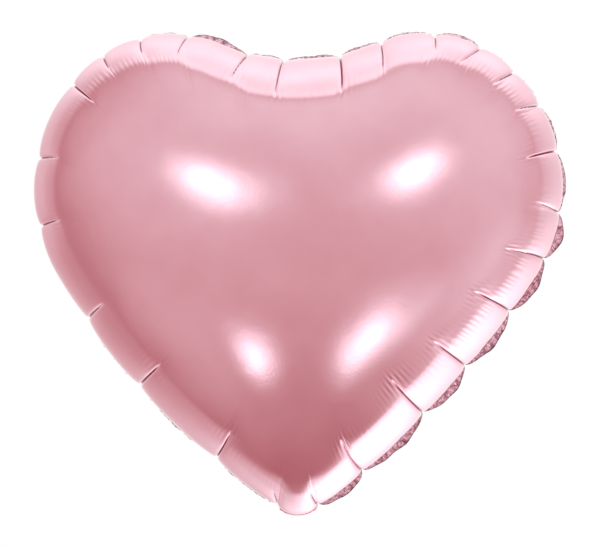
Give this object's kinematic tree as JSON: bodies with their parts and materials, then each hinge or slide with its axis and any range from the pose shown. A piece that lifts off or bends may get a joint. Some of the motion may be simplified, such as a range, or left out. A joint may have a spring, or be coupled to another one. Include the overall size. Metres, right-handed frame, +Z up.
{
  "type": "heart foil balloon",
  "caption": "Inflated heart-shaped foil balloon with a pleated sealed rim, a flat filling tail folded up behind the tip and a self-sealing film valve inside.",
  "frame": {"origin": "middle of the neck at the heart's tip, in the plane of the seam, where a ribbon is tied", "axes": "+Z up from the tip to the cleft, the front face looks along -Y, +X runs across the heart"},
  "size_m": [0.388, 0.172, 0.3507],
  "materials": {
    "foil": "satin metallised pink film",
    "foil_edge": "crinkled metallised pink film, heat-sealed",
    "valve_film": "clear thin film"
  },
  "bodies": {
    "balloon": {"front_panel": "foil", "back_panel": "foil", "front_seam_flange": "foil_edge", "back_seam_flange": "foil_edge", "valve_neck_front": "valve_film", "valve_neck_back": "valve_film"},
    "tail": {"tail_front_film": "foil", "tail_back_film": "foil", "tail_valve_front": "valve_film", "tail_valve_back": "valve_film"},
    "valve_front": {"valve_lip_front": "valve_film"},
    "valve_back": {"valve_lip_back": "valve_film"}
  },
  "joints": [
    {"name": "tail_fold", "type": "hinge", "parent": "balloon", "child": "tail", "pos_m": [0, 0, -0.0015], "axis": [-1, 0, 0], "range_deg": [0, 170]},
    {"name": "lip_front_part", "type": "hinge", "parent": "balloon", "child": "valve_front", "pos_m": [0, -0.0001, 0.006], "axis": [1, 0, 0], "range_deg": [0, 6], "stiffness_Nm_per_rad": 0.0005},
    {"name": "lip_back_part", "type": "hinge", "parent": "balloon", "child": "valve_back", "pos_m": [0, 0.0001, 0.006], "axis": [-1, 0, 0], "range_deg": [0, 6], "stiffness_Nm_per_rad": 0.0005}
  ],
  "couplings": [
    {"joint": "lip_back_part", "follows": "lip_front_part", "ratio": 1}
  ]
}
